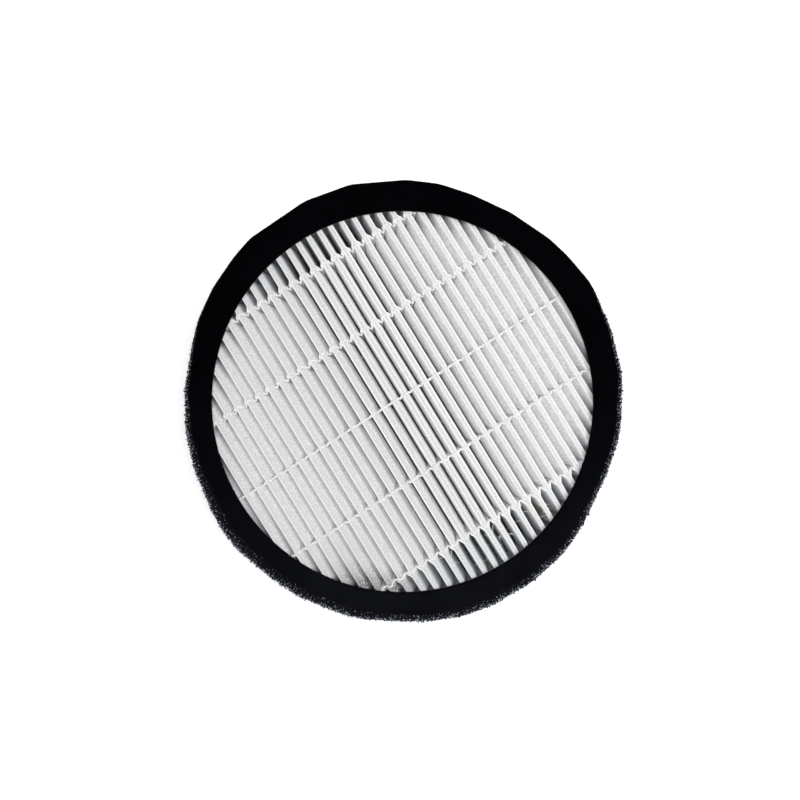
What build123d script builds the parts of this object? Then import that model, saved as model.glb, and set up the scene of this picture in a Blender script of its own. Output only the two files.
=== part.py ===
from build123d import *
import math
import os

# Round pleated air filter for the wall duct of a heat recovery ventilator.
# The frame: the back face lies on Z = 0 and +Z comes out of the front face.
# The pleats run along Y and the glue beads that space them run along X.
# All sizes are in millimetres.

# Folded sheet, cut round in a number of short straight cuts
pleat_pitch = 4.1
pleat_depth = 20.0
sheet_thickness = 0.8
pack_radius = 65.5
pack_cuts = 36

# Glue beads across the pleats, the same on both faces. None is laid nearer to the pack's edge than the edge gap.
bead_spacing = 25.4
bead_edge_gap = 10.0
bead_shift = 1.5
bead_width = 0.9
bead_rise = 0.4
bead_notch = 1.2

# Glue that seals the cut edge of the pack
edge_glue_thickness = 1.0

# Foam rim, which is glued up from a side band and a flat ring on each face
ring_thickness = 2.5
ring_overlap = 2.5
widest_below_ring = 1.5
back_inset = 1.5

# The rim is cut by hand, so its outline is a polygon of uneven facets. Each corner has its angle from +X in
# degrees, the width of foam there at its widest, and how far the edge of the front ring lies inside that.
rim_corners = [
    (-36.5, 7.1, 3.2),
    (-24.5, 7.6, 2.9),
    (-12.5, 7.5, 2.4),
    (-2.0, 7.6, 1.9),
    (1.5, 7.7, 1.6),
    (10.0, 7.1, 1.6),
    (16.5, 6.8, 1.5),
    (28.5, 6.3, 1.5),
    (40.0, 6.5, 1.5),
    (49.0, 7.3, 1.5),
    (57.5, 7.6, 1.5),
    (72.0, 8.1, 1.5),
    (84.5, 8.0, 1.5),
    (101.5, 8.1, 1.5),
    (108.0, 7.7, 1.6),
    (117.5, 7.4, 1.7),
    (126.5, 7.1, 1.9),
    (133.0, 6.5, 2.3),
    (145.5, 6.6, 2.9),
    (157.0, 6.8, 3.5),
    (167.0, 6.8, 4.1),
    (177.5, 7.1, 4.7),
    (184.5, 7.8, 5.1),
    (190.5, 7.8, 5.1),
    (202.0, 7.2, 4.9),
    (210.5, 7.5, 4.7),
    (222.0, 7.4, 4.3),
    (228.0, 7.6, 4.2),
    (238.5, 7.1, 4.0),
    (245.0, 7.6, 3.9),
    (254.0, 8.1, 4.1),
    (262.5, 8.1, 4.1),
    (274.5, 7.9, 3.8),
    (285.0, 7.6, 3.6),
    (293.5, 6.8, 3.4),
    (308.5, 6.1, 3.2),
    (318.0, 6.9, 3.2),
]

# Heights and reaches that follow from the sizes above
pack_bottom = ring_thickness + bead_rise
pack_top = pack_bottom + pleat_depth
ring_underside = pack_top + bead_rise
widest_height = ring_underside - widest_below_ring
half_folds = math.ceil(pack_radius / pleat_pitch)
pack_end = half_folds * pleat_pitch
rim_bore = pack_radius + edge_glue_thickness
opening_radius = pack_radius - ring_overlap

# The outside of a fold is half an octagon round the crease on its inside, one sheet away from it.
fold_corner = sheet_thickness * math.tan(math.radians(22.5))
fold_shoulder = sheet_thickness - fold_corner


def ridge_places(side):
    """X of every ridge on one face, front (1) or back (-1), which lie half a pitch apart."""
    if side > 0:
        return [(i + 0.5) * pleat_pitch for i in range(-half_folds, half_folds)]
    return [i * pleat_pitch for i in range(-half_folds, half_folds + 1)]


def tip_height(side):
    """Z of the ridges on one face."""
    return pack_top if side > 0 else pack_bottom


def within_pack(points):
    """The same points with none past the ends of the pack."""
    return [(max(-pack_end, min(pack_end, x)), z) for x, z in points]


def sheet_face(side):
    """One face of the folded sheet in section, from left to right."""
    tip = tip_height(side)
    root = tip - side * (pleat_depth - sheet_thickness)
    shoulder = tip - side * fold_shoulder
    points = []
    for x in ridge_places(side):
        points.append((x - pleat_pitch / 2, root))
        points.append((x - sheet_thickness, shoulder))
        points.append((x - fold_corner, tip))
        points.append((x + fold_corner, tip))
        points.append((x + sheet_thickness, shoulder))
    if side > 0:
        points.append((pack_end, root))
    else:
        points.pop(0)
    return within_pack(points)


def bead_crests(side):
    """The outer edge of a bead in section: a crest over each ridge and a notch between them."""
    tip = tip_height(side)
    points = []
    for x in ridge_places(side):
        points.append((x - pleat_pitch / 2, tip - side * bead_notch))
        points.append((x, tip + side * bead_rise))
    if side > 0:
        points.append((pack_end, tip - side * bead_notch))
    else:
        points.pop(0)
    return within_pack(points)


def across_pleats(points, half_length, y):
    """A solid with this closed section, which runs along Y and is cut round like the pack."""
    section = make_face(Plane.XZ * Polyline(*points, close=True))
    run = Pos(0, y, 0) * extrude(section, amount=half_length, both=True)
    return run & cut_round(pack_radius, 0, ring_underside + ring_thickness)


def cut_round(radius, bottom, top):
    """An upright prism on the Z axis, as round as the pack's short straight cuts leave it."""
    outline = Pos(0, 0, bottom) * RegularPolygon(radius, pack_cuts)
    return extrude(outline, amount=top - bottom)


def rim_outline(height, front_share=0.0, even_inset=0.0):
    """The rim's polygon at a height, drawn in from its widest by a share of the front insets or all round."""
    corners = []
    for angle, width, front_inset in rim_corners:
        turn = math.radians(angle)
        reach = rim_bore + width - front_share * front_inset - even_inset
        corners.append((reach * math.cos(turn), reach * math.sin(turn), height))
    return make_face(Polyline(*corners, close=True))


def pleated_media():
    """One sheet of fibrous paper, folded back and forth and cut round."""
    return across_pleats(sheet_face(1) + sheet_face(-1)[::-1], pack_radius, 0)


def bead_places():
    """Y of every bead that lies well inside the pack, from +Y down."""
    reach = math.ceil(pack_radius / bead_spacing)
    places = [bead_shift - i * bead_spacing for i in range(-reach, reach + 1)]
    return [y for y in places if abs(y) <= pack_radius - bead_edge_gap]


def separator_bead(side, y):
    """A comb of glue that fills the gaps on one face and passes over its ridges."""
    return across_pleats(sheet_face(side) + bead_crests(side)[::-1], bead_width / 2, y)


def edge_glue():
    """A ring of glue round the cut edge of the pack."""
    outside = cut_round(rim_bore, ring_thickness, ring_underside)
    return outside - cut_round(pack_radius, ring_thickness, ring_underside)


def side_foam_band():
    """Open-cell foam round the pack, which stands out furthest just below the front ring."""
    sections = [
        rim_outline(ring_thickness, even_inset=back_inset),
        rim_outline(widest_height),
        rim_outline(ring_underside, front_share=1.0),
    ]
    return loft(sections, ruled=True) - cut_round(rim_bore, ring_thickness, ring_underside)


def foam_ring(outline, bottom):
    """A flat foam ring, cut to the rim's outline with a round opening."""
    sheet = extrude(outline, amount=ring_thickness, dir=(0, 0, 1))
    opening = Cylinder(opening_radius, ring_thickness, align=(Align.CENTER, Align.CENTER, Align.MIN))
    return sheet - Pos(0, 0, bottom) * opening


parts = {
    "pleated_media": pleated_media(),
    "edge_glue": edge_glue(),
    "side_foam_band": side_foam_band(),
    "front_foam_ring": foam_ring(rim_outline(ring_underside, front_share=1.0), ring_underside),
    "back_foam_ring": foam_ring(rim_outline(0, even_inset=back_inset), 0),
}
for number, y in enumerate(bead_places(), start=1):
    parts[f"front_separator_bead_{number}"] = separator_bead(1, y)
    parts[f"back_separator_bead_{number}"] = separator_bead(-1, y)

os.makedirs("parts", exist_ok=True)
for name, shape in parts.items():
    export_step(shape, f"parts/{name}.step")
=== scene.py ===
import math
import random

import bpy
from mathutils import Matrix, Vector, noise


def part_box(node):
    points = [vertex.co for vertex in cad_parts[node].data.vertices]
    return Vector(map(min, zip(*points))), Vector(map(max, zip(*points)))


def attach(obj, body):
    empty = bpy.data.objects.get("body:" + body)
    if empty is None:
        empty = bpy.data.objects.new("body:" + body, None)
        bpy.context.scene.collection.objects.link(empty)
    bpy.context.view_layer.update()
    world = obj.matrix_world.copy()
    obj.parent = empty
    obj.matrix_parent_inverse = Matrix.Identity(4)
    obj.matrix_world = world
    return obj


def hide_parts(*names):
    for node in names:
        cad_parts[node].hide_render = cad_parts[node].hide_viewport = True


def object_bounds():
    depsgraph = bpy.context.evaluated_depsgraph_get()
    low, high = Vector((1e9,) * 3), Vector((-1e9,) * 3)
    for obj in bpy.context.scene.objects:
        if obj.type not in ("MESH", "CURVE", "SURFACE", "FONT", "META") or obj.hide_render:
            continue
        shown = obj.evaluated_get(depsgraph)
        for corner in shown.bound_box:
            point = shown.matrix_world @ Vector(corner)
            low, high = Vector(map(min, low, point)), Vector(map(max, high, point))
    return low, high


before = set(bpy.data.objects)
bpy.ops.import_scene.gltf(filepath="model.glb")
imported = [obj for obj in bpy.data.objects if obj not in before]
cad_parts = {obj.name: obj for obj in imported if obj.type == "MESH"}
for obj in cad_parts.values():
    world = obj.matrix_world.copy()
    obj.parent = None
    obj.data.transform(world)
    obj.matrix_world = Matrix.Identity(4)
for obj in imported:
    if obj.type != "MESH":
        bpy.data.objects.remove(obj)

cad_low, cad_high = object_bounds()
bpy.context.scene.view_settings.view_transform = "Standard"
mm = 0.001

# Floor, light and camera.
# The filter lies flat with its front up, and the camera looks straight down at it from close by.

image_turn = math.radians(-31.5)
camera_height = 190 * mm
view_width = 261.5 * mm
view_centre = (-0.41 * mm, 0.90 * mm)


def deselect_all():
    bpy.ops.object.select_all(action="DESELECT")


def look_at(thing, target):
    thing.rotation_euler = (Vector(target) - thing.location).to_track_quat("-Z", "Y").to_euler()


def seen_directly_value(tree):
    """1 for rays from the camera and those that are mirrored or pass through something, 0 for the rest."""
    light_path = tree.nodes.new("ShaderNodeLightPath")
    value = light_path.outputs["Is Camera Ray"]
    for name in ("Is Glossy Ray", "Is Transmission Ray"):
        either = tree.nodes.new("ShaderNodeMath")
        either.operation = "MAXIMUM"
        tree.links.new(value, either.inputs[0])
        tree.links.new(light_path.outputs[name], either.inputs[1])
        value = either.outputs[0]
    return value


deselect_all()
bpy.ops.mesh.primitive_plane_add(size=6, location=(0, 0, -0.3 * mm))
floor = bpy.context.object
floor.name = "floor"

floor_paint = bpy.data.materials.new("floor_paint")
floor_paint.use_nodes = True
tree = floor_paint.node_tree
floor_shader = tree.nodes["Principled BSDF"]
floor_shader.inputs["Base Color"].default_value = (0.72, 0.72, 0.72, 1)
floor_shader.inputs["Roughness"].default_value = 0.9
floor_shader.inputs["Specular IOR Level"].default_value = 0.0
seen_directly = seen_directly_value(tree)
floor_glow = tree.nodes.new("ShaderNodeMath")
floor_glow.operation = "MULTIPLY"
floor_glow.inputs[1].default_value = 0.50
tree.links.new(seen_directly, floor_glow.inputs[0])
floor_shader.inputs["Emission Color"].default_value = (1, 1, 1, 1)
tree.links.new(floor_glow.outputs[0], floor_shader.inputs["Emission Strength"])
floor.data.materials.append(floor_paint)

world = bpy.data.worlds.new("studio")
bpy.context.scene.world = world
world.use_nodes = True
tree = world.node_tree
background = tree.nodes["Background"]
background.inputs["Color"].default_value = (1, 1, 1, 1)
seen_directly = seen_directly_value(tree)
sky_strength = tree.nodes.new("ShaderNodeMapRange")
sky_strength.inputs["To Min"].default_value = 0.285
sky_strength.inputs["To Max"].default_value = 1.0
tree.links.new(seen_directly, sky_strength.inputs["Value"])
tree.links.new(sky_strength.outputs["Result"], background.inputs["Strength"])

# Each lamp: name, place, width and power
lamps = [
    ("overhead_softbox", (0.0, 0.0, 0.45), 0.10, 0.82),
    ("side_softbox", (0.26, -0.13, 0.60), 0.25, 2.05),
]
for name, place, width, power in lamps:
    bpy.ops.object.light_add(type="AREA", location=place)
    lamp = bpy.context.object
    lamp.name = name
    lamp.data.shape = "SQUARE"
    lamp.data.size = width
    lamp.data.energy = power
    look_at(lamp, (0, 0, 0))

bpy.ops.object.camera_add(
    location=(*view_centre, cad_high[2] + camera_height), rotation=(0, 0, image_turn)
)
camera = bpy.context.object
camera.data.sensor_width = 36
camera.data.lens = 36 * camera_height / view_width
camera.data.clip_start = 0.01
camera.data.clip_end = 20
bpy.context.scene.camera = camera

# Pleated paper.
# One sheet of white fibrous filter paper, scored and folded back and forth into deep narrow pleats
# and then cut round. The folds are held wide by the glue beads and pinch in beyond the outer ones.

folds_each_side = 16
pitch_left = 4.14 * mm
pitch_right = 4.02 * mm
paper_thickness = 0.5 * mm
pack_radius = 65.25 * mm
pack_cuts = 36
half_fold_inside = 0.93 * mm
half_fold_top_row = 0.85 * mm
half_fold_bottom_row = 0.78 * mm
wall_bulge = 0.12 * mm
wall_shares = (0.2, 0.6)
# Where each bead crosses the middle, and how much it rises to the right
bead_lines = [52.3 * mm, 26.9 * mm, 1.5 * mm, -23.9 * mm, -49.3 * mm]
bead_slopes = [0.0, 0.009, 0.016, 0.016, 0.016]
# Glue wets the folds' flanks on the far side of a bead and closes the gap there: bead, direction and reach
glue_caps = [(0, 1, 1.8 * mm), (1, 1, 1.4 * mm), (2, 1, 0.3 * mm), (3, -1, 0.6 * mm), (4, -1, 2.0 * mm)]
# Half the width of a fold where this glue closes the gap, and of the sharper folds of the back face
half_fold_capped = 1.68 * mm
root_half = 0.38 * mm
# How far the pack leans to the right from front to back, in mm: at the middle, and more for each mm up
lean_at_middle = 0.19
lean_along = 0.0037
media_low, media_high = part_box("pleated_media")
tip_z = media_high.z
root_z = media_low.z
# Each fold lies a little off its even place, and its tip a little low. The lists start at fold -jitter_first
jitter_first = 20
random.seed(11)
fold_jitter = [random.uniform(-0.10, 0.10) * mm for fold in range(-jitter_first, jitter_first + 1)]
tip_jitter = [random.uniform(-0.12, 0.0) * mm for fold in range(-jitter_first, jitter_first + 1)]
fold_sway = 0.16


def smooth_step(low, high, value):
    share = min(1.0, max(0.0, (value - low) / (high - low)))
    return share * share * (3 - 2 * share)


def fold_line(number, y):
    """X of a fold on the back face, counted from the middle. Those of the front face are at the halves."""
    pitch = pitch_left if number < 0 else pitch_right
    whole = math.floor(number)
    part = number - whole
    jitter = fold_jitter[whole + jitter_first] * (1 - part) + fold_jitter[whole + jitter_first + 1] * part
    sway = noise.noise(Vector((number * 1.7, y * 45, 3.0))) * fold_sway * mm
    return number * pitch + jitter + sway


def outer_row(y):
    """How far a place lies beyond the outer beads: 0 inside them and 1 just outside."""
    return smooth_step(0, 1.5 * mm, max(y - bead_lines[0], bead_lines[-1] - y))


def half_fold(y):
    """Half the width of a fold's tip at this place along it. Beyond the outer beads the folds pinch in."""
    below = bead_lines[-1] - y
    if y > bead_lines[0]:
        return half_fold_top_row
    if below > 0:
        pinched = half_fold_bottom_row - half_fold_inside
        return half_fold_inside + pinched * smooth_step(0, 9 * mm, below)
    return half_fold_inside


def glue_cap(y):
    """How far the glue beside a bead closes the gap here: 1 at the bead and 0 away from it."""
    closed = 0
    for bead, direction, reach in glue_caps:
        away = (y - bead_lines[bead]) * direction
        if 0 <= away < reach:
            closed = (1 - away / reach) ** 1.3
    return closed


def bead_slope(y):
    """How much a row at this place rises to the right."""
    if y >= bead_lines[0]:
        return bead_slopes[0]
    for place in range(len(bead_lines) - 1):
        high, low = bead_lines[place], bead_lines[place + 1]
        if y >= low:
            share = (high - y) / (high - low)
            return bead_slopes[place] * (1 - share) + bead_slopes[place + 1] * share
    return bead_slopes[-1]


def crown_half(y):
    """Half the width of the sheet's middle across a fold of the front face."""
    half = half_fold(y) - paper_thickness / 2
    return half + (half_fold_capped - half) * glue_cap(y)


def pack_lean(y):
    """How far a fold's back end lies to the right of its front end."""
    return (lean_at_middle + lean_along * y / mm) * mm


def flank(tip_x, root_x, y, share):
    """X of the middle of the sheet between a tip and a root, at a share of the depth."""
    side = 1 if root_x > tip_x else -1
    straight = abs(root_x - tip_x) - crown_half(y) - root_half
    out = crown_half(y) + straight * share + wall_bulge * math.sin(math.pi * share)
    return tip_x + side * out + pack_lean(y) * share


def make_active(piece):
    deselect_all()
    piece.select_set(True)
    bpy.context.view_layer.objects.active = piece


def flat_grid(name, columns, rows):
    """A flat sheet of quads, and each of its vertices with its column and row."""
    deselect_all()
    bpy.ops.mesh.primitive_grid_add(x_subdivisions=columns, y_subdivisions=rows, size=1)
    piece = bpy.context.object
    piece.name = name
    corners = [
        (corner, round((corner.co.x + 0.5) * columns), round((corner.co.y + 0.5) * rows))
        for corner in piece.data.vertices
    ]
    return piece, corners


def bisect_off(point, normal, fill):
    """Cuts away what lies beyond a plane. The piece is in edit mode."""
    bpy.ops.mesh.select_all(action="SELECT")
    bpy.ops.mesh.bisect(plane_co=point, plane_no=normal, clear_outer=True, use_fill=fill)


def apply_modifier(piece, kind, **settings):
    make_active(piece)
    modifier = piece.modifiers.new(kind.lower(), kind)
    for key, value in settings.items():
        setattr(modifier, key, value)
    bpy.ops.object.modifier_apply(modifier=modifier.name)


# Rows along the folds are closer together within row_margin of a bead. In mm, apart from the shares
row_margin = 2.4
plain_side_steps = (row_margin, 1.0, 0.3, 0.02)
capped_side_shares = (0.02, 0.2, 0.45, 0.7, 1.0)
row_span = 20.6
rows_between = 12
outer_rows = 7
top_row_step = 1.6
bottom_row_margin = 3.6
bottom_row_step = 1.9
row_places = []
for bead, direction, reach in glue_caps:
    line = bead_lines[bead]
    row_places += [line - direction * step * mm for step in plain_side_steps]
    row_places += [line + direction * step * reach for step in capped_side_shares]
    row_places.append(line + direction * row_margin * mm)
for line in bead_lines[:-1]:
    for step in range(1, rows_between):
        row_places.append(line - row_margin * mm - step * row_span * mm / rows_between)
for step in range(1, outer_rows + 1):
    row_places.append(bead_lines[0] + row_margin * mm + step * top_row_step * mm)
    row_places.append(bead_lines[-1] - bottom_row_margin * mm - step * bottom_row_step * mm)
row_places = sorted(row_places)

section_steps = 7
columns = 2 * folds_each_side * 2 * section_steps
paper, corners = flat_grid("folded_paper", columns, len(row_places) - 1)
depth = tip_z - root_z - paper_thickness
# A fold in section, from its middle outwards: share of its half width, and how far in from the face in mm
crown_steps = [(0, 0.06), (0.82, 0.0), (1.0, 0.16)]
# Painted highlight: how bright a line each step of a half pleat is painted, from the middle of the tip to
# that of the root
painted_highlight_marks = (0.35, 0.97, 1.0, 0.0, 0.0, 1.0, 0.95, 0.4)
depths = []
painted_highlights = []
for corner, column, row in corners:
    y = row_places[row]
    half_pleat, step = divmod(column, section_steps)
    if column == columns:
        half_pleat, step = half_pleat - 1, section_steps
    # A half pleat runs from a back fold up to a front fold, or down again
    rising = half_pleat % 2 == 0
    number = -folds_each_side + (half_pleat + (1 if rising else 0)) / 2
    tip_x = fold_line(math.floor(number) + 0.5, y)
    if rising:
        root_x = fold_line(math.floor(number), y)
        step = section_steps - step
    else:
        root_x = fold_line(math.floor(number) + 1, y)
    side = 1 if root_x > tip_x else -1
    if step <= 2:
        down = crown_steps[step][1] * mm
        x = tip_x + side * crown_steps[step][0] * crown_half(y)
    elif step >= section_steps - 2:
        share, up = crown_steps[section_steps - step]
        down = depth - up * mm
        x = root_x - side * share * root_half + pack_lean(y)
    else:
        down = depth * wall_shares[step - 3]
        x = flank(tip_x, root_x, y, wall_shares[step - 3])
    share = down / depth
    fold_index = min(2 * jitter_first, max(0, math.floor(number) + jitter_first))
    z = tip_z - paper_thickness / 2 - down + tip_jitter[fold_index] * (1 - share)
    y += bead_slope(y) * x
    corner.co = (x, y, z)
    depths.append(share)
    edge_highlight = painted_highlight_marks[step]
    if side > 0:
        # Painted highlight: left of the middle only the edge that faces away from it is painted as a bright
        # line
        edge_highlight *= 0.55 + 0.45 * smooth_step(-16 * mm, 16 * mm, tip_x)
    painted_highlights.append(edge_highlight)
for mark_name, marks in (("fold_depth", depths), ("fold_painted_highlight", painted_highlights)):
    mark = paper.data.attributes.new(mark_name, "FLOAT", "POINT")
    mark.data.foreach_set("value", marks)

make_active(paper)
bpy.ops.object.mode_set(mode="EDIT")
for cut in range(pack_cuts):
    turn = math.radians((cut + 0.5) * 360 / pack_cuts)
    outward = (math.cos(turn), math.sin(turn), 0)
    bisect_off([pack_radius * part for part in outward], outward, False)
bpy.ops.object.mode_set(mode="OBJECT")
flat_count = len(paper.data.vertices)
apply_modifier(paper, "SOLIDIFY", thickness=paper_thickness, offset=0)
front_first = (
    sum(v.co.z for v in paper.data.vertices[:flat_count])
    > sum(v.co.z for v in paper.data.vertices[flat_count:])
)
wall_lean_right = 1.4
deep_lean_right = 2.2
wall_lean_left = 0.45
edge_lean_left = 2.2
wall_normals = []
painted_shade_mark = paper.data.attributes.new("fold_painted_shade", "FLOAT", "POINT")
mark = paper.data.attributes["fold_depth"]
for index, corner in enumerate(paper.data.vertices):
    on_front = (index < flat_count) == front_first
    if not on_front:
        mark.data[index].value = 1 - mark.data[index].value
    # The fibres scatter light that grazes them, so the walls are shaded as if they leaned back
    share = mark.data[index].value
    outer = outer_row(corner.co.y - bead_slope(corner.co.y) * corner.co.x)
    below_edge = smooth_step(0.02, 0.1, share)
    lean_right = wall_lean_right + deep_lean_right * smooth_step(0.05, 0.45, share)
    lean = lean_right if corner.normal.x > 0 else wall_lean_left * below_edge
    if corner.normal.x < 0:
        left_of_middle = 1 - smooth_step(-4 * mm, 20 * mm, corner.co.x)
        lean += edge_lean_left * (1 - below_edge) * left_of_middle
    lean *= (1 - smooth_step(0.72, 1.0, share)) * (1 - 0.6 * outer)
    wall_normals.append((corner.normal + Vector((0, 0, lean if on_front else -lean))).normalized())
    # Painted shade mark for the gaps beyond the outer beads and near the rim
    at_rim = smooth_step(58.5 * mm, 63.5 * mm, math.hypot(corner.co.x, corner.co.y))
    painted_shade_mark.data[index].value = max(outer, 0.7 * at_rim) * min(1.0, share / 0.4)
make_active(paper)
bpy.ops.object.shade_smooth()
paper.data.normals_split_custom_set_from_vertices(wall_normals)


def noise_node(tree, vector, scale, detail, roughness=0.6):
    node = tree.nodes.new("ShaderNodeTexNoise")
    node.inputs["Scale"].default_value = scale
    node.inputs["Detail"].default_value = detail
    node.inputs["Roughness"].default_value = roughness
    tree.links.new(vector, node.inputs["Vector"])
    return node


def new_material(name, slot_colour):
    material = bpy.data.materials.new(name)
    material.use_nodes = True
    material.diffuse_color = (*slot_colour, 1)
    tree = material.node_tree
    coordinates = tree.nodes.new("ShaderNodeTexCoord")
    return material, tree, tree.nodes["Principled BSDF"], coordinates.outputs["Object"]


def mix_colour(tree, factor, first, second):
    node = tree.nodes.new("ShaderNodeMix")
    node.data_type = "RGBA"
    node.inputs[6].default_value = (*first, 1) if isinstance(first, tuple) else (0, 0, 0, 1)
    node.inputs[7].default_value = (*second, 1) if isinstance(second, tuple) else (0, 0, 0, 1)
    if not isinstance(first, tuple):
        tree.links.new(first, node.inputs[6])
    if not isinstance(second, tuple):
        tree.links.new(second, node.inputs[7])
    tree.links.new(factor, node.inputs[0])
    return node.outputs[2]


def map_range(tree, value, low, high, to_low, to_high):
    node = tree.nodes.new("ShaderNodeMapRange")
    for key, number in (("From Min", low), ("From Max", high), ("To Min", to_low), ("To Max", to_high)):
        node.inputs[key].default_value = number
    tree.links.new(value, node.inputs["Value"])
    return node.outputs["Result"]


def bump(tree, height, strength, distance):
    node = tree.nodes.new("ShaderNodeBump")
    node.inputs["Strength"].default_value = strength
    node.inputs["Distance"].default_value = distance
    tree.links.new(height, node.inputs["Height"])
    return node.outputs["Normal"]


def attribute_value(tree, name):
    node = tree.nodes.new("ShaderNodeAttribute")
    node.attribute_name = name
    return node.outputs["Fac"]


def multiply(tree, first, second):
    node = tree.nodes.new("ShaderNodeMath")
    node.operation = "MULTIPLY"
    tree.links.new(first, node.inputs[0])
    tree.links.new(second, node.inputs[1])
    return node.outputs[0]


def near_spot(tree, position, x, y, inner, outer):
    """1 near a place seen from above, which fades to 0 at the outer distance."""
    flat = tree.nodes.new("ShaderNodeCombineXYZ")
    tree.links.new(position.outputs["X"], flat.inputs["X"])
    tree.links.new(position.outputs["Y"], flat.inputs["Y"])
    away = tree.nodes.new("ShaderNodeVectorMath")
    away.operation = "DISTANCE"
    away.inputs[1].default_value = (x, y, 0)
    tree.links.new(flat.outputs[0], away.inputs[0])
    return map_range(tree, away.outputs["Value"], inner, outer, 1, 0)


paper_finish, tree, shader, place = new_material("fibrous_paper", (0.82, 0.82, 0.81))
# The grain is drawn out down the walls, which are seen at a slant
drawn_out = tree.nodes.new("ShaderNodeVectorMath")
drawn_out.operation = "MULTIPLY"
drawn_out.inputs[1].default_value = (1, 1, 0.12)
tree.links.new(place, drawn_out.inputs[0])
fibres = noise_node(tree, drawn_out.outputs[0], 2600, 4, 0.7)
patches = noise_node(tree, place, 240, 3)
grain = map_range(tree, fibres.outputs["Fac"], 0.38, 0.62, 0, 1)
speckled = mix_colour(tree, grain, (0.53, 0.53, 0.528), (0.99, 0.99, 0.99))
cloud = map_range(tree, patches.outputs["Fac"], 0.4, 0.75, 0, 0.4)
clouded = mix_colour(tree, cloud, speckled, (0.72, 0.71, 0.67))
# Painted shade: the left half is painted greyer, as if less of the light from the right fell on it
position = tree.nodes.new("ShaderNodeSeparateXYZ")
tree.links.new(place, position.inputs[0])
shaded_left_half = map_range(tree, position.outputs["X"], 0.034, -0.012, 0, 0.36)
clouded = mix_colour(tree, shaded_left_half, clouded, (0.55, 0.55, 0.545))
# Painted highlight: a bright line along the fold edges at the tips
edge_highlight = map_range(tree, attribute_value(tree, "fold_painted_highlight"), 0.55, 1.0, 0, 0.95)
depth_in_fold = attribute_value(tree, "fold_depth")
edge_highlight = multiply(tree, edge_highlight, map_range(tree, depth_in_fold, 0.01, 0.06, 1, 0))
highlighted = mix_colour(tree, edge_highlight, clouded, (0.99, 0.99, 0.99))
# Painted light and shade down a wall: lighter just below the edge, darker further down, darkest at the root
upper_wall = map_range(tree, depth_in_fold, 0.02, 0.12, 0, 0.15)
painted_lit_wall = mix_colour(tree, upper_wall, highlighted, (0.85, 0.845, 0.83))
far_down = map_range(tree, depth_in_fold, 0.3, 0.8, 0, 0.2)
shaded = mix_colour(tree, far_down, painted_lit_wall, (0.55, 0.54, 0.51))
at_root = map_range(tree, depth_in_fold, 0.87, 1.0, 0, 1)
root_shaded = mix_colour(tree, at_root, shaded, (0.15, 0.14, 0.125))
# Painted shade: beyond the outer beads and at the rim the gaps are painted dark, navy at the top and lighter
# grey-blue towards the bottom row
towards_bottom = map_range(tree, position.outputs["Y"], -0.045, 0.045, 1, 0)
painted_shade_colour = mix_colour(tree, towards_bottom, (0.004, 0.008, 0.018), (0.21, 0.24, 0.27))
gap_shaded = mix_colour(tree, attribute_value(tree, "fold_painted_shade"), root_shaded, painted_shade_colour)
# Painted shade: the walls are painted greyer near the ring, as the ring shades them
near_ring = near_spot(tree, position, 0, 0, 63.5 * mm, 56 * mm)
on_wall = map_range(tree, depth_in_fold, 0.02, 0.2, 0, 0.55)
ring_shaded = mix_colour(tree, multiply(tree, near_ring, on_wall), gap_shaded, (0.33, 0.36, 0.41))
# Grey mottling in one corner near the rim, and darker mottling against the ring there
greyer_share = multiply(tree, near_spot(tree, position, -45 * mm, -37 * mm, 3 * mm, 17 * mm), grain)
mottled = mix_colour(tree, map_range(tree, greyer_share, 0, 1, 0, 0.3), ring_shaded, (0.36, 0.37, 0.38))
corner_spot = near_spot(tree, position, -39 * mm, -48 * mm, 6 * mm, 16 * mm)
against_ring = near_spot(tree, position, 0, 0, 62 * mm, 55.5 * mm)
in_corner = multiply(tree, corner_spot, against_ring)
dark_mottle = multiply(tree, in_corner, map_range(tree, grain, 0.3, 0.8, 0.95, 0.2))
mottled = mix_colour(tree, dark_mottle, mottled, (0.07, 0.075, 0.08))
# A brown spot in one gap, just below the tips
drop = near_spot(tree, position, 20.9 * mm, -56.5 * mm, 1.2 * mm, 3.0 * mm)
below_tip = map_range(tree, depth_in_fold, 0.02, 0.08, 0, 1)
brown_spotted = mix_colour(tree, multiply(tree, drop, below_tip), mottled, (0.17, 0.14, 0.075))
tree.links.new(brown_spotted, shader.inputs["Base Color"])
shader.inputs["Roughness"].default_value = 0.9
shader.inputs["Specular IOR Level"].default_value = 0.1
shader.inputs["Sheen Weight"].default_value = 0.25
shader.inputs["Sheen Roughness"].default_value = 0.6
tree.links.new(bump(tree, fibres.outputs["Fac"], 1.0, 0.00025), shader.inputs["Normal"])
paper.data.materials.append(paper_finish)
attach(paper, "root")
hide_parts("pleated_media")

# Separator beads.
# Lines of white hot melt glue laid across the folds on both faces. Each fills the gaps as a thin web,
# dips between the folds and arches over their tips, and keeps them an even distance apart.

bead_web = 0.85 * mm
crest_width = 0.75 * mm
ear_width = 0.8 * mm
crest_rise = 0.12 * mm
notch_drop = 0.45 * mm
fillet_reach = 0.43 * mm
outer_fillet_reach = 0.8 * mm
# How far each bead curves up the face over a ridge and down it over a gap, from the top bead down
bead_scallops = [0.9 * mm, 0.8 * mm, 0.12 * mm, -0.15 * mm, -0.5 * mm]
# How uneven the glue is: the height of its crests and of its notches, and its line across the face
crest_lump = 0.06 * mm
notch_lump = 0.25 * mm
line_wander = 0.25
# A bead is cut off a little short of the pack's edge, at the height of its ends about bead_run mm out
bead_run = 45
end_clearance = 0.2 * mm
# How deep a crest reaches below the face, and how far down the widest line of the glue lies at most
crest_depth = 0.35 * mm
widest_drop = 1.2 * mm

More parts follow.
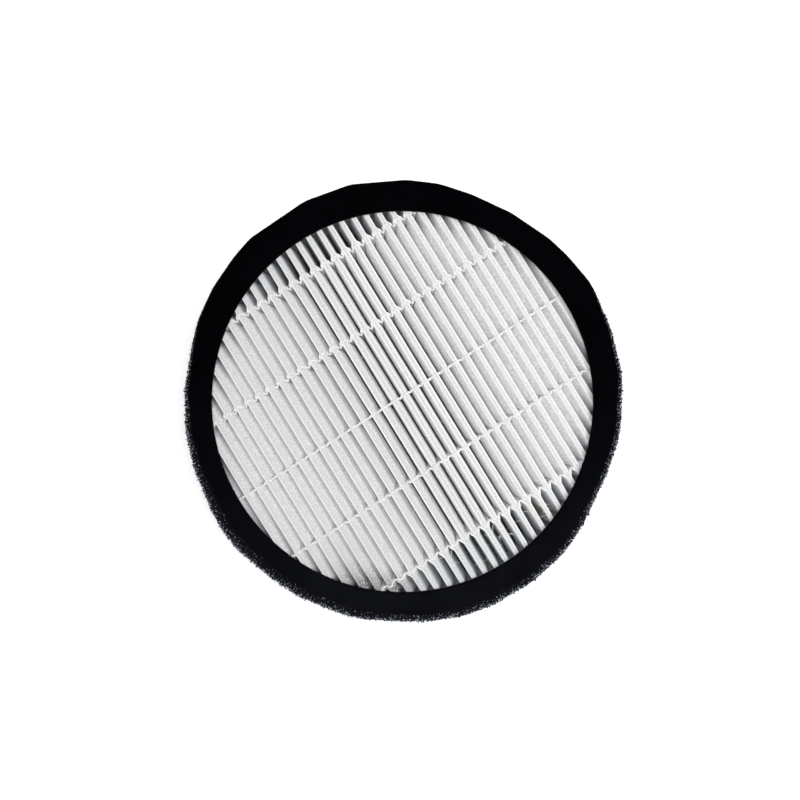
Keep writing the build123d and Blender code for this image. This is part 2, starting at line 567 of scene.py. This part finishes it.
glue_finish, tree, shader, place = new_material("hot_melt_glue", (0.9, 0.9, 0.9))
lumps = noise_node(tree, place, 1500, 3)
lumpy = map_range(tree, lumps.outputs["Fac"], 0.36, 0.64, 0, 1)
glue_colour = mix_colour(tree, lumpy, (0.60, 0.61, 0.61), (0.86, 0.86, 0.86))
tree.links.new(glue_colour, shader.inputs["Base Color"])
shader.inputs["Roughness"].default_value = 0.45
shader.inputs["Coat Weight"].default_value = 0.15
tree.links.new(bump(tree, lumps.outputs["Fac"], 0.4, 0.0002), shader.inputs["Normal"])


def close_up(gap):
    """Merges doubles of the active piece and turns all its faces outwards."""
    bpy.ops.object.mode_set(mode="EDIT")
    bpy.ops.mesh.select_all(action="SELECT")
    bpy.ops.mesh.remove_doubles(threshold=gap)
    bpy.ops.mesh.select_all(action="SELECT")
    bpy.ops.mesh.normals_make_consistent(inside=False)
    bpy.ops.object.mode_set(mode="OBJECT")


def separator_bead(name, side, y):
    """A web of glue with a scalloped top. Side is 1 on the front face and -1 on the back face."""
    half = half_fold_inside if side > 0 else root_half + paper_thickness / 2
    scallop = bead_scallops[bead_lines.index(y)]
    # From a ridge to the middle of the gap (None): share of the half fold, share of the crest's rise,
    # width, and whether this is in the gap
    stations = [
        (0.0, 1.0, crest_width, False),
        (0.5, 0.92, crest_width, False),
        (0.85, 0.65, crest_width * 1.2, False),
        (1.04, 0.25, ear_width, True),
        (1.25, -0.6, ear_width, True),
        (None, -notch_drop / crest_rise, bead_web, True),
    ]
    first = -folds_each_side if side > 0 else -folds_each_side + 0.5
    half_steps = len(stations) - 1
    pleats = 2 * folds_each_side - (0 if side > 0 else 1)
    piece, corners = flat_grid(name, pleats * 2 * half_steps, 10)
    face_z = tip_z if side > 0 else root_z
    far_z = root_z + paper_thickness * 0.7 if side > 0 else tip_z - paper_thickness * 0.7
    for corner, column, row in corners:
        half_pleat, step = divmod(column, half_steps)
        if half_pleat == pleats * 2:
            half_pleat, step = half_pleat - 1, half_steps
        ridge = first + 0.5 + half_pleat // 2
        ridge_x = fold_line(ridge, y)
        if half_pleat % 2 == 0:
            notch_x = fold_line(ridge - 0.5, y)
            step = half_steps - step
        else:
            notch_x = fold_line(ridge + 0.5, y)
        share, rise, thick, in_gap = stations[step]
        out = abs(notch_x - ridge_x) if share is None else share * half
        sign = 1 if notch_x > ridge_x else -1
        at_wall = share is not None and in_gap
        lump = noise.noise(Vector((ridge_x * 900 + out * 700, y * 900, side * 5.0)))
        wander = noise.noise(Vector((ridge_x * 260, y * 900, side * 9.0))) * line_wander * mm
        lump_height = notch_lump if share is None else crest_lump
        crest = face_z + side * (rise * crest_rise + lump_height * lump)
        low = far_z if in_gap else face_z - side * crest_depth
        thick = thick * (1 + 0.2 * lump)
        drop = min(crest_depth, abs(crest - low) * 0.5)
        half_t = thick / 2
        web_t = bead_web / 2 if in_gap else half_t
        middle = crest - side * max(drop, min(abs(crest - low) * 0.5, widest_drop))
        # The glue wets the walls, so where it meets them it spreads, most on the side away from the middle
        wet_low = wet_high = web_t
        if at_wall:
            wet_low = outer_fillet_reach if y == bead_lines[-1] else fillet_reach
            wet_high = outer_fillet_reach if y == bead_lines[0] else fillet_reach
        loop = [
            (0, low), (-web_t, low), (-wet_low, middle), (-half_t, crest - side * drop),
            (-half_t * 0.7, crest - side * drop * 0.3), (0, crest),
            (half_t * 0.7, crest - side * drop * 0.3), (half_t, crest - side * drop),
            (wet_high, middle), (web_t, low), (0, low),
        ]
        across, z = loop[row]
        x = ridge_x + sign * out
        depth_share = (tip_z - z) / (tip_z - root_z)
        if in_gap and row in (0, 1, 2, 8, 9, 10):
            # In the gap the web runs down between the walls, so its edge follows the middle of the paper
            if at_wall and side > 0:
                x = flank(ridge_x, notch_x, y, depth_share)
            elif at_wall:
                x = flank(notch_x, ridge_x, y, depth_share)
            else:
                x += pack_lean(y) * depth_share
        elif side < 0:
            x += pack_lean(y) * depth_share
        # The scallop fades towards the bottom of the web
        scallop_share = 0.3 if row in (0, 1, 9, 10) else 1
        arc = scallop * math.cos(math.pi * out / abs(notch_x - ridge_x)) * scallop_share
        corner.co = (x, y + across + wander + arc + bead_slope(y) * x, z)
    make_active(piece)
    close_up(1e-6)
    furthest_y = abs(y) + bead_web / 2 + bead_slope(y) * bead_run * mm
    reach = math.sqrt(pack_radius ** 2 - furthest_y ** 2) - end_clearance
    bpy.ops.object.mode_set(mode="EDIT")
    bisect_off((reach, 0, 0), (1, 0, 0), True)
    bisect_off((-reach, 0, 0), (-1, 0, 0), True)
    bpy.ops.mesh.select_all(action="SELECT")
    bpy.ops.mesh.normals_make_consistent(inside=False)
    bpy.ops.object.mode_set(mode="OBJECT")
    bpy.ops.object.shade_smooth()
    piece.data.materials.append(glue_finish)
    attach(piece, "root")
    return piece


for number, y in enumerate(bead_lines, start=1):
    for face, side in (("front", 1), ("back", -1)):
        bead = separator_bead(f"{face}_glue_line_{number}", side, y)
        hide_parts(f"{face}_separator_bead_{number}")

# Glue threads.
# Hair-thin strings of the same glue, drawn out where the nozzle left a bead. Most hang across the gaps
# of the bottom row.

thread_count = 36
bottom_row_threads = 26
thread_steps = 8
thread_sides = 6
thread_sway = 0.5
thread_sag = 0.3

random.seed(23)
threads = []
while len(threads) < thread_count:
    in_bottom_row = len(threads) < bottom_row_threads
    x = random.uniform(-40, 40) * mm
    y = random.uniform(-60, -51) * mm if in_bottom_row else random.uniform(-40, 45) * mm
    if math.hypot(x, y) > 61 * mm:
        continue
    length = random.uniform(2.6, 5.5) * mm
    turn = random.uniform(-1.0, 1.0)
    height = tip_z - random.uniform(0.25, 1.2) * mm
    thickness = random.uniform(0.045, 0.085) * mm
    thread, corners = flat_grid("glue_threads", thread_steps, thread_sides)
    for corner, column, row in corners:
        along = column / thread_steps - 0.5
        round_it = 2 * math.pi * row / thread_sides
        thick = thickness * math.sqrt(max(0.0, 1 - (2 * along) ** 2))
        sway = noise.noise(Vector((along * 3, len(threads) * 2.0, 0))) * thread_sway * mm
        aside = sway + thick * math.cos(round_it)
        corner.co = (
            x + math.cos(turn) * along * length - math.sin(turn) * aside,
            y + math.sin(turn) * along * length + math.cos(turn) * aside,
            height + thick * math.sin(round_it) - thread_sag * mm * (1 - (2 * along) ** 2),
        )
    threads.append(thread)
deselect_all()
for thread in threads:
    thread.select_set(True)
bpy.context.view_layer.objects.active = threads[0]
bpy.ops.object.join()
glue_threads = bpy.context.object
close_up(1e-7)
bpy.ops.object.shade_smooth()
glue_threads.data.materials.append(glue_finish)
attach(glue_threads, "root")

# Edge glue.
# A thin band of the same white hot melt glue round the cut edge of the pack. It is poured between the
# paper and the foam, holds them together and keeps air from passing round the paper.

edge_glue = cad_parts["edge_glue"]
edge_glue.data.materials.clear()
edge_glue.data.materials.append(glue_finish)

# Side foam band.
# A strip of black open-cell foam glued round the pack. It is cut by hand, so its outside is a row of
# uneven facets, torn and fuzzy, and it stands out furthest just below the front ring.

rim_bore = 66.5 * mm
widest_below_ring = 1.5 * mm
level_tolerance = 0.01 * mm
band_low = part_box("side_foam_band")[0].z
band_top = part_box("side_foam_band")[1].z
widest_z = band_top - widest_below_ring


def outline_of(node, height):
    """The corners of the outer edge of a CAD node at a height, in order round the axis."""
    corners = set()
    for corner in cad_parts[node].data.vertices:
        x, y, z = corner.co
        if abs(z - height) < level_tolerance and math.hypot(x, y) > rim_bore + 0.5 * mm:
            corners.add((round(x, 6), round(y, 6)))
    return sorted(corners, key=lambda place: math.atan2(place[1], place[0]))


def facet_reach(outline, degrees):
    """How far an outline stands from the centre in one direction."""
    turn = math.radians(degrees)
    ahead = Vector((math.cos(turn), math.sin(turn)))
    for near, far in zip(outline, outline[1:] + outline[:1]):
        near, far = Vector(near), Vector(far)
        if near.cross(ahead) >= 0 and ahead.cross(far) >= 0 and near.dot(ahead) > 0:
            return near.cross(far) / ahead.cross(far - near)


def soft_reaches(outline, directions, spread):
    """The reach in every direction, with the corners worn soft over a spread of directions."""
    reaches = [facet_reach(outline, 360 * number / directions) for number in range(directions)]
    soft = []
    for number in range(directions):
        near = [reaches[(number + step) % directions] for step in range(-spread, spread + 1)]
        soft.append(sum(near) / len(near))
    return soft


band_columns = 1500
corner_spread = 6
strut_count = 2600
struts_at_line = 0.55
fringe_depth = 1.0 * mm
front_outline = outline_of("front_foam_ring", band_top)
widest_outline = outline_of("side_foam_band", widest_z)
back_outline = outline_of("side_foam_band", band_low)
front_reach = soft_reaches(front_outline, band_columns, corner_spread)
widest_reach = soft_reaches(widest_outline, band_columns, corner_spread)
back_reach = soft_reaches(back_outline, band_columns, corner_spread)

# Round the section: height, two outlines (none on the inside), how they mix, and how far in from there
band_rows = [
    (band_top, front_reach, front_reach, 0, 1.5 * mm),
    (band_top, front_reach, front_reach, 0, 0.5 * mm),
]
top_steps = 6
for step in range(top_steps):
    share = step / top_steps
    band_rows.append((band_top + (widest_z - band_top) * share, front_reach, widest_reach, share, 0))
side_steps = 42
for step in range(side_steps + 1):
    share = step / side_steps
    band_rows.append((widest_z + (band_low - widest_z) * share, widest_reach, back_reach, share, 0))
band_rows.append((band_low, back_reach, back_reach, 0, 2.5 * mm))
band_rows.append((band_low, None, None, 0, 0))
band_rows.append((band_top, None, None, 0, 0))
band_rows.append(band_rows[0])

foam_band, corners = flat_grid("side_foam_strip", band_columns, len(band_rows) - 1)
for corner, column, row in corners:
    z, near_reach, far_reach, share, inset = band_rows[row]
    around = column % band_columns
    reach = rim_bore
    if near_reach:
        reach = near_reach[around] * (1 - share) + far_reach[around] * share - inset
    turn = 2 * math.pi * around / band_columns
    corner.co = (reach * math.cos(turn), reach * math.sin(turn), z)
make_active(foam_band)
close_up(1e-6)

foam_cells = bpy.data.textures.new("foam_cells", "VORONOI")
foam_cells.noise_scale = 0.5 * mm
foam_cells.distance_metric = "DISTANCE"
torn_skin = foam_band.vertex_groups.new(name="torn_skin")
torn_values = [0.0] * len(foam_band.data.vertices)


def torn_share(degrees):
    """The strip was cut clean on one side and torn on the other."""
    if degrees < 240:
        return smooth_step(120, 140, degrees)
    return 1 - smooth_step(350, 360, degrees)


# Single spikes stand out of the torn side, among many shallow pits
spike_height = 0.75
pit_depth = 0.25
random.seed(5)
for corner in foam_band.data.vertices:
    x, y, z = corner.co
    on_inside = math.hypot(x, y) < rim_bore + 1.2 * mm
    if on_inside or not band_low + level_tolerance < z < band_top - level_tolerance:
        continue
    degrees = math.degrees(math.atan2(y, x)) % 360
    torn = 0.1 + 0.9 * torn_share(degrees)
    torn_skin.add([corner.index], torn, "REPLACE")
    # The torn struts lie thickest at the widest line and thin out fast towards the ring
    inside = widest_reach[round(degrees / 360 * band_columns) % band_columns] - math.hypot(x, y)
    if z > widest_z:
        torn_values[corner.index] = (0.15 + torn) * math.exp(-inside / fringe_depth)
    else:
        torn_values[corner.index] = torn * (0.12 + 0.88 * math.exp((z - widest_z) / fringe_depth))
    spike = (random.random() ** 7 * spike_height - pit_depth) * torn * mm
    corner.co += Vector((x, y, 0)).normalized() * spike
torn_mark = foam_band.data.attributes.new("torn", "FLOAT", "POINT")
torn_mark.data.foreach_set("value", torn_values)
apply_modifier(
    foam_band, "DISPLACE", texture=foam_cells, texture_coords="LOCAL",
    strength=0.25 * mm, mid_level=0.5, vertex_group="torn_skin",
)

# Broken struts of the foam stand out of the torn side as a fringe, most of them at the widest line
points = []
faces = []
while len(points) < 4 * strut_count:
    column = random.randrange(band_columns)
    degrees = 360 * column / band_columns
    if random.random() > 0.05 + 0.95 * torn_share(degrees):
        continue
    if random.random() < struts_at_line:
        z = widest_z + random.uniform(-1.2, 0.9) * mm
    else:
        z = random.uniform(band_low, widest_z)
    share = (widest_z - z) / (widest_z - band_low)
    if share > 0:
        reach = widest_reach[column] * (1 - share) + back_reach[column] * share
    else:
        share = (z - widest_z) / (band_top - widest_z)
        reach = widest_reach[column] * (1 - share) + front_reach[column] * share
    turn = math.radians(degrees)
    ahead = Vector((math.cos(turn), math.sin(turn), 0))
    tilt = Vector([random.uniform(-0.7, 0.7) for axis in range(3)])
    base = ahead * (reach - 0.4 * mm) + Vector((0, 0, z))
    tip = base + (ahead + tilt).normalized() * random.uniform(0.5, 1.15) * mm
    thick = random.uniform(0.10, 0.18) * mm
    first = len(points)
    aside = Vector((-ahead.y, ahead.x, 0))
    points += [base + aside * thick, base - aside * thick, base + Vector((0, 0, 1.7 * thick)), tip]
    for sides in ((0, 2, 1), (0, 1, 3), (1, 2, 3), (2, 0, 3)):
        faces.append(tuple(first + side for side in sides))
fringe_mesh = bpy.data.meshes.new("fringe")
fringe_mesh.from_pydata(points, [], faces)
# Painted shade: the struts low on the side get a lower mark, so they are painted darker
fringe_values = [0.25 if z < widest_z - 1.5 * mm else 1.0 for x, y, z in points]
fringe_mark = fringe_mesh.attributes.new("torn", "FLOAT", "POINT")
fringe_mark.data.foreach_set("value", fringe_values)
fringe = bpy.data.objects.new("fringe", fringe_mesh)
bpy.context.collection.objects.link(fringe)
make_active(foam_band)
fringe.select_set(True)
bpy.ops.object.join()

open_foam, tree, shader, place = new_material("open_cell_foam", (0.02, 0.02, 0.025))
cells = tree.nodes.new("ShaderNodeTexVoronoi")
cells.feature = "DISTANCE_TO_EDGE"
cells.inputs["Scale"].default_value = 1400
tree.links.new(place, cells.inputs["Vector"])
grit = noise_node(tree, place, 2000, 3)
strut = map_range(tree, cells.outputs["Distance"], 0.0, 0.16, 1, 0)
torn = attribute_value(tree, "torn")
foam_colour = mix_colour(tree, multiply(tree, strut, torn), (0.0010, 0.0011, 0.0018), (0.012, 0.016, 0.024))
# Painted highlights: bright specks where broken struts catch the light, more of them where the foam is torn
brighter = tree.nodes.new("ShaderNodeMath")
brighter.operation = "MULTIPLY_ADD"
brighter.inputs[1].default_value = 0.17
tree.links.new(torn, brighter.inputs[0])
tree.links.new(grit.outputs["Fac"], brighter.inputs[2])
painted_glints = map_range(tree, brighter.outputs[0], 0.67, 0.72, 0, 1)
with_glints = mix_colour(tree, painted_glints, foam_colour, (0.62, 0.67, 0.77))
tree.links.new(with_glints, shader.inputs["Base Color"])
shader.inputs["Roughness"].default_value = 0.9
shader.inputs["Specular IOR Level"].default_value = 0.1
tree.links.new(bump(tree, strut, 0.8, 0.0003), shader.inputs["Normal"])
foam_band.data.materials.append(open_foam)
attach(foam_band, "root")
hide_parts("side_foam_band")

# Foam rings.
# A flat ring of smooth black foam glued on each face. It is cut out of a sheet with straight cuts, so its
# outside is the same row of facets as the band's, and its opening is round.

opening_radius = 63.0 * mm
opening_sides = 160
ring_thickness = cad_high[2] - band_top
corner_softness = 1.6 * mm
edge_softness = 0.35 * mm

smooth_foam, tree, shader, place = new_material("smooth_foam", (0.01, 0.01, 0.012))
pores = noise_node(tree, place, 2400, 4)
stains = noise_node(tree, place, 60, 3)
# Painted sheen: one side of the rim is painted a lighter grey, where light glances off it
towards_sheen = tree.nodes.new("ShaderNodeVectorMath")
towards_sheen.operation = "DOT_PRODUCT"
towards_sheen.inputs[1].default_value = (-0.52, -0.85, 0)
tree.links.new(place, towards_sheen.inputs[0])
greyer_share = map_range(tree, towards_sheen.outputs["Value"], -0.01, 0.06, 0, 1)
blotch = map_range(tree, stains.outputs["Fac"], 0.35, 0.7, 0, 1)
plain_skin = mix_colour(tree, blotch, (0.0004, 0.0004, 0.0008), (0.0011, 0.0011, 0.0016))
sheen_skin = mix_colour(tree, blotch, (0.0030, 0.0033, 0.0050), (0.0052, 0.0056, 0.0078))
skin = mix_colour(tree, greyer_share, plain_skin, sheen_skin)
tree.links.new(skin, shader.inputs["Base Color"])
shader.inputs["Roughness"].default_value = 0.85
shader.inputs["Specular IOR Level"].default_value = 0.01
tree.links.new(bump(tree, pores.outputs["Fac"], 0.3, 0.0001), shader.inputs["Normal"])


def foam_ring(name, bottom, outline):
    """Cut from a flat sheet: a loop of corners, softened, bridged to a round opening and thickened."""
    deselect_all()
    bpy.ops.mesh.primitive_circle_add(vertices=len(outline), radius=1, location=(0, 0, 0))
    piece = bpy.context.object
    piece.name = name
    for (x, y), vertex in zip(outline, piece.data.vertices):
        vertex.co = (x, y, bottom)
    make_active(piece)
    bpy.ops.object.mode_set(mode="EDIT")
    bpy.ops.mesh.select_all(action="SELECT")
    bpy.ops.mesh.bevel(offset=corner_softness, segments=3, affect="VERTICES")
    bpy.ops.mesh.select_all(action="DESELECT")
    bpy.ops.mesh.primitive_circle_add(vertices=opening_sides, radius=opening_radius, location=(0, 0, bottom))
    bpy.ops.mesh.select_all(action="SELECT")
    bpy.ops.mesh.bridge_edge_loops()
    bpy.ops.mesh.select_all(action="SELECT")
    bpy.ops.mesh.extrude_region_move(TRANSFORM_OT_translate={"value": (0, 0, ring_thickness)})
    bpy.ops.mesh.select_all(action="SELECT")
    bpy.ops.mesh.normals_make_consistent(inside=False)
    bpy.ops.object.mode_set(mode="OBJECT")
    apply_modifier(
        piece, "BEVEL", width=edge_softness, segments=3, limit_method="ANGLE", angle_limit=math.radians(50)
    )
    bpy.ops.object.shade_smooth_by_angle(angle=math.radians(40))
    piece.data.materials.append(smooth_foam)
    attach(piece, "root")
    return piece


front_ring = foam_ring("front_ring", band_top, front_outline)
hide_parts("front_foam_ring")
back_ring = foam_ring("back_ring", 0.0, back_outline)
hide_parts("back_foam_ring")
